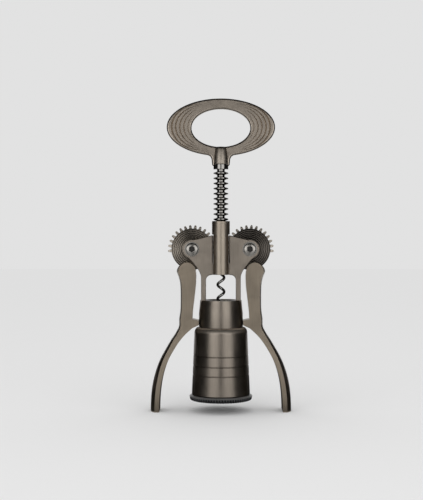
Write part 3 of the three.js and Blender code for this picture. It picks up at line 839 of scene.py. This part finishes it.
stations = []
grip_steps = 30
for i in range(grip_steps + 1):
    at = grip_edges[-1][0] * i / grip_steps
    outer, inner = eased(grip_edges, at)
    stations.append((at * nose_bottom, reach_at(outer), reach_at(inner)))
nose_back = reach_at(waist_edges[0][1])
stations.append((nose_bottom, nose_back, nose_reach))
stations.append((nose_top, nose_back, nose_reach))
waist_steps = 16
for i in range(waist_steps + 1):
    at = waist_edges[0][0] + (waist_edges[-1][0] - waist_edges[0][0]) * i / waist_steps
    outer, inner = eased(waist_edges, at)
    z = nose_top + at * (head_centre[1] - nose_top)
    stations.append((z, reach_at(outer), reach_at(inner)))
head_steps = 14
head_turn = 86
for half, up in arc((0, 0), head_radius, 0, head_turn, head_steps):
    stations.append((head_centre[1] + up, head_centre[0] + half, head_centre[0] - half))

crown_steps = 12
grip_end = 0.2 * pivot_z
waist_start = 0.564 * pivot_z
foot_crown = 5.4
head_crown = 1.5


def arm_section(z, outer, inner):
    """The arm's cross-section: flat inner side, flat front and back, crowned outer side."""
    t = min(max((z - grip_end) / (waist_start - grip_end), 0), 1)
    depth = foot_half_depth + (half_depth - foot_half_depth) * t * t * (3 - 2 * t)
    crown = foot_crown + (head_crown - foot_crown) * min(z / waist_start, 1)
    crown = min(crown, (outer - inner) / 2)
    ring = [(-inner, -depth, z), (-inner, depth, z)]
    for i in range(crown_steps + 1):
        s = 1 - 2 * i / crown_steps
        ring.append((-(outer - crown * s * s), depth * s, z))
    return ring


def lofted(name, rings):
    """A solid through rings of points in millimetres, each ring extruded from the one before."""
    piece = filled(name, rings[0])
    for before, after in zip(rings, rings[1:]):
        bpy.ops.mesh.extrude_region_move()
        bpy.ops.object.mode_set(mode="OBJECT")
        end_face = next(face for face in piece.data.polygons if face.select)
        for index in end_face.vertices:
            corner = piece.data.vertices[index]
            gaps = [(corner.co - Vector(point) * MM).length for point in before]
            corner.co = Vector(after[gaps.index(min(gaps))]) * MM
        bpy.ops.object.mode_set(mode="EDIT")
    bpy.ops.object.mode_set(mode="OBJECT")
    return closed_up(piece)


arm = lofted("arm", [arm_section(*station) for station in stations])
arm_break = 0.45
bush_bore = 4.7
bore_depth = wheel_half + run_out
break_edges(arm, arm_break, sharper_than=38)
combine(lever, arm, "UNION")
combine(lever, rod(bush_bore, (-pivot_x, -bore_depth, pivot_z), (-pivot_x, bore_depth, pivot_z)))
lever_twin = mirrored(closed_up(lever), "lever_right_forging")


def about_the_pivot(tree, coordinates):
    """Coordinates from the nearer pivot, with its axis as Z."""
    parts = add(tree, "ShaderNodeSeparateXYZ", {"Vector": coordinates}).outputs
    x = math_node(tree, "SUBTRACT", math_node(tree, "ABSOLUTE", parts["X"]), pivot_x * MM)
    z = math_node(tree, "SUBTRACT", parts["Z"], pivot_z * MM)
    return add(tree, "ShaderNodeCombineXYZ", {"X": x, "Y": z, "Z": parts["Y"]}).outputs[0]


def from_pivot(point):
    """Distance in millimetres from the nearer pivot's axis."""
    return math.hypot(abs(point.x) - pivot_x, point.z - pivot_z)


lever_bronze = metal("Lever bronze", (0.315, 0.266, 0.208), 0.36, grain=0.07, scratches=0.3)
# Painted shade and highlight: each wheel face is painted darker than the bronze as painted shade
# where it lies recessed between the cheeks, and the right one darker still as more painted shade. The
# teeth beyond the root are painted lighter as a painted highlight.
tooth_highlight_colour = (0.42, 0.38, 0.33)
for piece, body, node, shaded_wheel_colour in (
    (lever, "left_lever", "lever_left", (0.175, 0.154, 0.13)),
    (lever_twin, "right_lever", "lever_right", (0.08, 0.071, 0.062)),
):
    shaded_wheel_face = metal(
        f"Turned wheel face {node}", shaded_wheel_colour, 0.22, rings=1.0, rings_per_metre=1000.0,
        steps=14.0, scratches=0.1, place=about_the_pivot, beyond=(root_radius, tooth_highlight_colour),
        painted_ring_shading=0.55,
    )
    fitted(piece, [lever_bronze, shaded_wheel_face], body, node)
    give_faces(piece, 1, lambda centre, normal: (
        abs(centre.y) < wheel_half + hair and from_pivot(centre) < tip_radius + hair
    ))


# Pivot hardware: polished domed screws with a hexagon socket, each through a front washer, a
# brass bush inside the wheel and a rear washer into a domed nut. The bushes are pressed in.
screw_radius = (screw_high.x - screw_low.x) / 2
washer_half = 6.7
washer_thickness = 0.6
washer_far = half_depth + washer_thickness
head_seat = washer_far + clearance
head_rim = head_seat + 1.2
head_crown_y = -screw_low.y
dome_rise = head_crown_y - head_rim
dome_steps = 8
shank = 3.0
_, nut_high = corners("pivot_nut_right")
nut_wall = 1.1
nut_round = (0.5, 1.4)
socket_flats = 5.0
socket_depth = 1.9
head_break = 0.15
nut_break = 0.2
washer_break = 0.12
bush_wall = 1.1
steps_around = 72
polished_steel = metal(
    "Polished steel", (0.36, 0.345, 0.32), 0.27, rings=0.3, rings_per_metre=2500.0,
    scratches=0.2, place=about_the_pivot, smear=0.03,
)
dome = [
    (screw_radius * across, head_rim + dome_rise * up)
    for across, up in arc((0, 0), 1, 90, 0, dome_steps)
]
pivot = (pivot_x, 0, pivot_z)
front_axis = (0, -1, 0)
rear_axis = (0, 1, 0)
screw = turned("pivot_screw_right_head", [
    *dome,
    (screw_radius, head_seat),
    (shank, head_seat),
    (shank, -screw_high.y),
    (0, -screw_high.y),
], steps=steps_around, centre=pivot, axis=front_axis)
socket = rod(
    socket_flats / math.sqrt(3),
    (pivot_x, -head_crown_y - run_out, pivot_z),
    (pivot_x, -head_crown_y + socket_depth, pivot_z),
    steps=6,
)
combine(screw, socket)
break_edges(screw, head_break, segments=2, sharper_than=50)

nut = turned("pivot_nut_right_dome", [
    (pin_bore, head_seat),
    (screw_radius, head_seat),
    (screw_radius, head_rim),
    (screw_radius - nut_round[0], head_rim + 2 * nut_round[0]),
    (screw_radius - nut_round[1], nut_high.y),
    (0, nut_high.y),
    (0, nut_high.y - nut_wall),
    (pin_bore, nut_high.y - nut_wall),
], steps=steps_around, centre=pivot, axis=rear_axis)
break_edges(nut, nut_break, segments=2, sharper_than=50)


def washer(name, inner, outer, near, far):
    """A ring round the right-hand pivot between two depths."""
    piece = turned(name, [
        (inner, near), (outer, near), (outer, far), (inner, far),
    ], steps=steps_around, centre=pivot, axis=rear_axis)
    break_edges(piece, washer_break, segments=2, sharper_than=50)
    return closed_up(piece)


bearing_brass = metal(
    "Bearing brass", (0.55, 0.4, 0.17), 0.3, grain=0.3, rings=1.5, place=about_the_pivot
)
# Painted shade: the hexagon socket's faces are painted near black, as the shade inside the recess.
socket_shade_steel = metal("Socket painted in shade", (0.05, 0.048, 0.045), 0.5, scratches=0.2)
hardware = [
    (screw, "pivot_screw", polished_steel, "polished_steel"),
    (nut, "pivot_nut", polished_steel, "polished_steel"),
    (
        washer("front_washer_right_ring", pin_bore, washer_half, -washer_far, -half_depth),
        "front_washer", polished_steel, "polished_steel",
    ),
    (
        washer("rear_washer_right_ring", pin_bore, washer_half, half_depth, washer_far),
        "rear_washer", polished_steel, "polished_steel",
    ),
    (
        washer("gear_bush_right_ring", pin_bore, pin_bore + bush_wall, -wheel_slot, wheel_slot),
        "gear_bush", bearing_brass, "bearing_brass",
    ),
]
for piece, node, material, slot in hardware:
    twin = mirrored(piece, piece.name.replace("right", "left"))
    for part, side in ((piece, "_right"), (twin, "_left")):
        fitted(part, [material, socket_shade_steel], "frame", node + side, 28)
        if node == "pivot_screw":
            give_faces(part, 1, lambda centre, normal: (
                centre.y < 0 and from_pivot(centre) < socket_flats / 2 + hair
            ))


# Rack shaft: polished steel bar turned with rings at the wheels' tooth pitch, so that it can
# spin and still be lifted. A plain land ends it, and a thin spindle goes up into the handle.
rack_low, rack_high = corners("rack_shaft")
_, worm_high = corners("worm")
rack_radius = rack_high.x
ring_inside = 1.9
ring_outside = 1.4
rack_core = rack_radius - ring_outside - ring_inside
ring_pitch = math.pi * tooth_module
slope = math.tan(pressure_angle)
half_root = tooth_width / 2 + ring_inside * slope
half_tip = tooth_width / 2 - ring_outside * slope
ring_origin = pivot_z - ring_drop
rings_below, rings_above = 1, 15
spindle_radius = 3.6
spindle_bore = spindle_radius + clearance
shank_bore = 1.6
shank_top = worm_high.z + clearance
edge = 0.18
land_edge = 0.5
land_top = ring_origin - (rings_below + 1) * ring_pitch
rack_profile = [
    (shank_bore, rack_low.z),
    (rack_radius - land_edge, rack_low.z),
    (rack_radius, rack_low.z + land_edge),
    (rack_radius, land_top + half_tip - edge),
    (rack_radius - edge, land_top + half_tip),
    (rack_core, land_top + half_root),
]
for k in range(-rings_below, rings_above + 1):
    z = ring_origin + k * ring_pitch
    rack_profile += [
        (rack_core, z - half_root),
        (rack_radius - edge, z - half_tip),
        (rack_radius, z - half_tip + edge),
        (rack_radius, z + half_tip - edge),
        (rack_radius - edge, z + half_tip),
        (rack_core, z + half_root),
    ]
rack_profile += [
    (spindle_radius, rack_high.z),
    (0, rack_high.z),
    (0, shank_top),
    (shank_bore, shank_top),
]
rack = turned("ringed_rack_shaft", rack_profile, steps=80)
set_screw_low, set_screw_high = corners("worm_set_screw")
set_screw_radius = set_screw_high.y
set_screw_z = (set_screw_low.z + set_screw_high.z) / 2
set_screw_bore = set_screw_radius + clearance
combine(rack, rod(set_screw_bore, (0, 0, set_screw_z), (rack_radius + run_out, 0, set_screw_z), 32))
turned_steel = metal(
    "Polished turned steel", (0.26, 0.25, 0.235), 0.09, rings=0.15, rings_per_metre=2200.0,
    scratches=0.2, smear=0.02,
)
fitted(rack, [turned_steel], "screw", "rack_shaft")


# Stop collar: polished steel ring, turned from the same bar as the rack shaft. It runs free on
# the spindle between the handle's hub and the top ring of the rack.
collar_low, collar_high = corners("stop_collar")
collar_break = 0.35
collar = turned("polished_stop_collar", [
    (spindle_bore, collar_low.z),
    (collar_high.x, collar_low.z),
    (collar_high.x, collar_high.z),
    (spindle_bore, collar_high.z),
])
break_edges(collar, collar_break)
fitted(collar, [turned_steel], "stop_collar", "stop_collar")


# Handle: cast oval ring of satin bronze with crescent grooves in both lobes and faces, two
# short ears, and a coned hub that is threaded onto the rack shaft's spindle.
_, handle_high = corners("handle")
handle_half = 3.0
half_width = handle_high.x
half_height = 26.5
handle_z = handle_high.z - half_height
hole_z = handle_z - 0.7
hole_width = 27.1
hole_height = 17.5
oval_steps = 96
oval_round = 1.8
collar_space = collar_high.x + clearance
ear_half = collar_space + 0.7
ear_bottom = collar_high.z - 1.7
throat = (collar_space + 1.2, collar_high.z + 2.5)
join_angle = 75
join = (
    half_width * math.cos(math.radians(join_angle)),
    handle_z - half_height * math.sin(math.radians(join_angle)),
)
bend = (throat[0], join[1] - 0.6)
outer_rim = [
    (half_width * across, handle_z + half_height * up)
    for across, up in arc((0, 0), 1, -join_angle, 180 + join_angle, oval_steps)
]
right_throat = [throat, *swept(throat, bend, join)[:-1]]
left_throat = [(-x, z) for x, z in reversed(right_throat)]
handle = plate("oval_handle", [
    (-ear_half, ear_bottom),
    (ear_half, ear_bottom),
    *right_throat,
    *outer_rim,
    *left_throat,
], -handle_half, handle_half)
hole = rod(1, (0, -handle_half - run_out, 0), (0, handle_half + run_out, 0), oval_steps)
hole.data.transform(Matrix.Diagonal((hole_width, 1, hole_height, 1)))
hole.data.transform(Matrix.Translation((0, 0, hole_z * MM)))
combine(handle, hole)
break_edges(handle, oval_round, segments=6, sharper_than=50)

groove_reaches = (45.3, 41.7, 37.9, 34.2, 30.4)
groove_talls = (20.9, 20.1, 19.6, 19.0, 18.5)
groove_spreads = (0.8, 0.7, 0.6, 0.5, 0.38)
groove_ends = (19.0, 20.0, 21.0, 22.0, 24.0)
groove_wide = 25.6
groove_steps = 48
groove_end_share = 0.08
groove_fullness = 1.8
depth_per_width = 1.15
proud = 0.3


def crescent_cutter(reach, tall, spread, end):
    """A long three-sided wedge on an ellipse's arc, thin at its ends, for the right front groove."""
    shift = reach - groove_wide
    end_angle = math.acos((end - shift) / groove_wide)
    rings = []
    for i in range(groove_steps + 1):
        along = 2 * i / groove_steps - 1
        angle = end_angle * along
        fade = groove_end_share + (1 - groove_end_share) * (1 - abs(along) ** groove_fullness)
        middle = Vector((
            shift + groove_wide * math.cos(angle), 0, handle_z + tall * math.sin(angle)
        ))
        across = Vector((tall * math.cos(angle), 0, groove_wide * math.sin(angle))).normalized()
        wide = spread * fade
        deep = depth_per_width * wide
        over = wide * (1 + proud / deep)
        above = Vector((0, -handle_half - proud, 0))
        below = Vector((0, -handle_half + deep, 0))
        rings.append([middle - across * over + above, middle + below, middle + across * over + above])
    return lofted("crescent_cutter", rings)


for groove in zip(groove_reaches, groove_talls, groove_spreads, groove_ends):
    cutter = crescent_cutter(*groove)
    for side, face in ((-1, -1), (-1, 1), (1, -1), (1, 1)):
        twin = copied(cutter, "crescent_cutter_copy")
        twin.data.transform(Matrix.Diagonal((side, face, 1, 1)))
        combine(handle, closed_up(twin))
    bpy.data.objects.remove(cutter)

hub_bottom = collar_high.z + clearance
hub_top = hole_z - hole_height
hub_low_radius = collar_high.x + 0.1
hub_top_radius = 6.0
hub_bulge = 1.2
hub_steps = 12
crown_start = hub_top - 1.7
crown = ((0.35, 0.8), (0.9, 1.35), (1.6, 1.7))
hub_side = []
for i in range(hub_steps + 1):
    t = i / hub_steps
    bulge = hub_bulge * t * (1 - t)
    radius = hub_low_radius + (hub_top_radius - hub_low_radius) * t + bulge
    hub_side.append((min(radius, hub_low_radius), hub_bottom + (crown_start - hub_bottom) * t))
hub = turned("hub", [
    (0, hub_bottom),
    *hub_side,
    *[(hub_top_radius - inset, crown_start + rise) for inset, rise in crown],
    (0, hub_top),
], steps=96)
combine(handle, hub, "UNION")
bore_bottom = ear_bottom - run_out
combine(handle, rod(collar_space, (0, 0, bore_bottom), (0, 0, hub_bottom), 80))
combine(handle, rod(spindle_bore, (0, 0, bore_bottom), (0, 0, rack_high.z + clearance)))
hub_bronze = metal(
    "Turned hub bronze", (0.42, 0.372, 0.315), 0.4, grain=0.1, rings=0.5, scratches=0.2
)
cast_bronze = metal("Cast handle bronze", (0.39, 0.34, 0.286), 0.32, grain=0.015, scratches=0.2)
fitted(handle, [cast_bronze, hub_bronze], "screw", "handle")
give_faces(handle, 1, lambda centre, normal: (
    centre.z < hub_top
    and math.hypot(centre.x, centre.y) < hub_low_radius + hair
    and abs(centre.y) > handle_half + hair
))


# Worm: one wound steel wire, straight at the top where the rack shaft holds it, opened out to
# the right, and drawn to a point. It is polished dark.
wire = 1.3
worm_reach = 4.25 - wire
worm_pitch = 13.0
worm_side_z = window_top - 15.6
worm_tip_z = neck_bottom - 3.1
spread_top = rack_low.z - 0.5
spread_height = 6.5
taper_height = 7.0
point_share = 0.06
worm_steps = 260
line = bpy.data.curves.new("wound_worm", "CURVE")
line.dimensions = "3D"
line.bevel_depth = wire * MM
line.bevel_resolution = 6
line.use_fill_caps = True
wound = line.splines.new("POLY")
wound.points.add(worm_steps)
for i in range(worm_steps + 1):
    z = worm_high.z + (worm_tip_z - worm_high.z) * i / worm_steps
    spread = min(max((spread_top - z) / spread_height, 0), 1)
    radius = worm_reach * spread * spread * (3 - 2 * spread)
    angle = TURN * (z - worm_side_z) / worm_pitch
    wound.points[i].co = (radius * math.cos(angle) * MM, radius * math.sin(angle) * MM, z * MM, 1)
    fullness = min((z - worm_tip_z) / taper_height, 1)
    wound.points[i].radius = point_share + (1 - point_share) * math.sqrt(max(fullness, 0))
worm = bpy.data.objects.new("wound_worm", line)
bpy.context.scene.collection.objects.link(worm)
select_alone(worm)
bpy.ops.object.convert(target="MESH")
worm = bpy.context.active_object
dark_steel = metal(
    "Dark polished steel", (0.32, 0.31, 0.295), 0.18, grain=0.2, rings=0.3, scratches=0.4, smear=0.04
)
fitted(worm, [dark_steel], "screw", "worm", 50)

set_screw = rod(
    set_screw_radius, (set_screw_low.x, 0, set_screw_z), (set_screw_high.x, 0, set_screw_z), 32
)
set_screw.name = "worm_set_screw_point"
set_screw.data.name = "worm_set_screw_point"
key_radius = 0.9
key_break = 0.12
key_bottom = set_screw_high.x - 1.5
key_top = set_screw_high.x + run_out
combine(set_screw, rod(key_radius, (key_bottom, 0, set_screw_z), (key_top, 0, set_screw_z), 6))
break_edges(set_screw, key_break, segments=2, sharper_than=50)
fitted(set_screw, [dark_steel], "screw", "worm_set_screw")


# Studio: a pale floor under a pale surround, two soft boxes in front with a narrow gap
# between them, and black flags round the sides that only reflections see.
scene = bpy.context.scene
scene.view_settings.view_transform = "Standard"
pale_behind = 0.76
pale_around = 0.88
world = bpy.data.worlds.new("Pale surround")
scene.world = world
world.use_nodes = True
surround = world.node_tree.nodes["Background"].inputs
surround["Color"].default_value = (1.0, 1.0, 1.0, 1)
seen_by_camera = add(world.node_tree, "ShaderNodeLightPath").outputs["Is Camera Ray"]
pale = math_node(
    world.node_tree, "MULTIPLY_ADD", seen_by_camera, pale_behind - pale_around, pale_around
)
world.node_tree.links.new(pale, surround["Strength"])


def plain_paint(name, colour, glow=0.0):
    """A plain paint for the studio's own surfaces."""
    paint = bpy.data.materials.new(name)
    paint.use_nodes = True
    surface = paint.node_tree.nodes["Principled BSDF"].inputs
    surface["Base Color"].default_value = (*colour, 1)
    surface["Roughness"].default_value = 1.0
    surface["Specular IOR Level"].default_value = 0.0
    surface["Emission Color"].default_value = (1, 1, 1, 1)
    surface["Emission Strength"].default_value = glow
    return paint


floor_size = 12
bpy.ops.object.select_all(action="DESELECT")
bpy.ops.mesh.primitive_plane_add(size=floor_size)
floor = bpy.context.active_object
floor.name = "pale_floor"
floor.data.materials.append(plain_paint("Pale floor", (0.84, 0.84, 0.84)))

box_azimuth = 29.5
box_distance = 1.1
box_width = 0.9
box_height = 0.72
box_centre_z = 0.34
box_spread = 110


def soft_box(name, azimuth, power):
    """An area lamp that faces the tool from a place round it, azimuth 0 being the front."""
    lamp = bpy.data.lights.new(name, "AREA")
    lamp.shape = "RECTANGLE"
    lamp.size = box_width
    lamp.size_y = box_height
    lamp.energy = power
    lamp.spread = math.radians(box_spread)
    holder = bpy.data.objects.new(name, lamp)
    across = box_distance * math.sin(math.radians(azimuth))
    ahead = box_distance * math.cos(math.radians(azimuth))
    holder.location = (across, -ahead, box_centre_z)
    aim = Vector((0, 0, box_centre_z)) - holder.location
    holder.rotation_euler = aim.to_track_quat("-Z", "Y").to_euler()
    holder.visible_camera = False
    scene.collection.objects.link(holder)


soft_box("Left soft box", -box_azimuth, 0.75)
soft_box("Right soft box", box_azimuth, 0.69)

flag_black = (0.01, 0.01, 0.01)
black_flag = plain_paint("Black flag", flag_black, glow=0.01)
dim_card = plain_paint("Dim card", flag_black, glow=0.55)
bright_card = plain_paint("Bright card", flag_black, glow=0.9)


def reflected_only(card, name, paint):
    """Hides a card from everything but reflections."""
    card.name = name
    card.data.materials.append(paint)
    card.visible_camera = False
    card.visible_diffuse = False
    card.visible_shadow = False
    card.visible_transmission = False
    card.visible_volume_scatter = False


# A black tent stands round the tool, and a bright card across its back lights it from behind.
tent_front = -0.52
tent_back = 1.3
tent_radius = 0.62
tent_centre_z = 0.15
bpy.ops.object.select_all(action="DESELECT")
bpy.ops.mesh.primitive_cylinder_add(
    vertices=64,
    radius=tent_radius,
    depth=tent_back - tent_front,
    end_fill_type="NOTHING",
    location=(0, (tent_front + tent_back) / 2, tent_centre_z),
    rotation=(math.pi / 2, 0, 0),
)
reflected_only(bpy.context.active_object, "black_tent", black_flag)
bpy.ops.object.select_all(action="DESELECT")
bpy.ops.mesh.primitive_circle_add(
    vertices=64,
    radius=tent_radius,
    fill_type="NGON",
    location=(0, tent_back, tent_centre_z),
    rotation=(math.pi / 2, 0, 0),
)
reflected_only(bpy.context.active_object, "rear_card", bright_card)

# A flag lies just over the floor and leaves two wedges open in front, between the gap and the
# boxes' outer edges, with a dim card in them. One more flag is above the boxes, one in their gap.
card_z = 0.4
flag_z = 2 * card_z
flag_back = 350
wedge_outer = math.radians(52)
wedge_inner = math.radians(6.5)
tent_half = tent_radius / MM
side_y = -tent_half / math.tan(wedge_outer)
strip_y = -1200
strip_half = -strip_y * math.tan(wedge_inner)
card_half = -2 * strip_y


def upright(half_width, y, bottom, top):
    """The corners of an upright card in front of the tool, in millimetres."""
    low_edge = [(-half_width, y, bottom), (half_width, y, bottom)]
    return [*low_edge, (half_width, y, top), (-half_width, y, top)]


for name, paint, outline in (
    ("floor_flag", black_flag, [
        (-tent_half, flag_back, flag_z),
        (tent_half, flag_back, flag_z),
        (tent_half, side_y, flag_z),
        (0, 0, flag_z),
        (-tent_half, side_y, flag_z),
    ]),
    ("floor_gap_flag", black_flag, [
        (0, 0, flag_z), (-strip_half, strip_y, flag_z), (strip_half, strip_y, flag_z),
    ]),
    ("floor_card", dim_card, [
        (0, 0, card_z), (-card_half, strip_y, card_z), (card_half, strip_y, card_z),
    ]),
    ("upper_flag", black_flag, upright(1000, -700, 465, 1065)),
    ("gap_card", black_flag, upright(170, -1200, -500, 1100)),
):
    card = filled(name, outline)
    bpy.ops.object.mode_set(mode="OBJECT")
    reflected_only(card, name, paint)

camera = bpy.data.cameras.new("Camera")
camera.lens = 68.2
camera.shift_x = -0.016
camera.shift_y = -0.003
camera_holder = bpy.data.objects.new("Camera", camera)
camera_holder.location = (-0.00129, -0.875, 0.1496)
camera_holder.rotation_euler = (math.pi / 2, 0, 0)
scene.collection.objects.link(camera_holder)
scene.camera = camera_holder
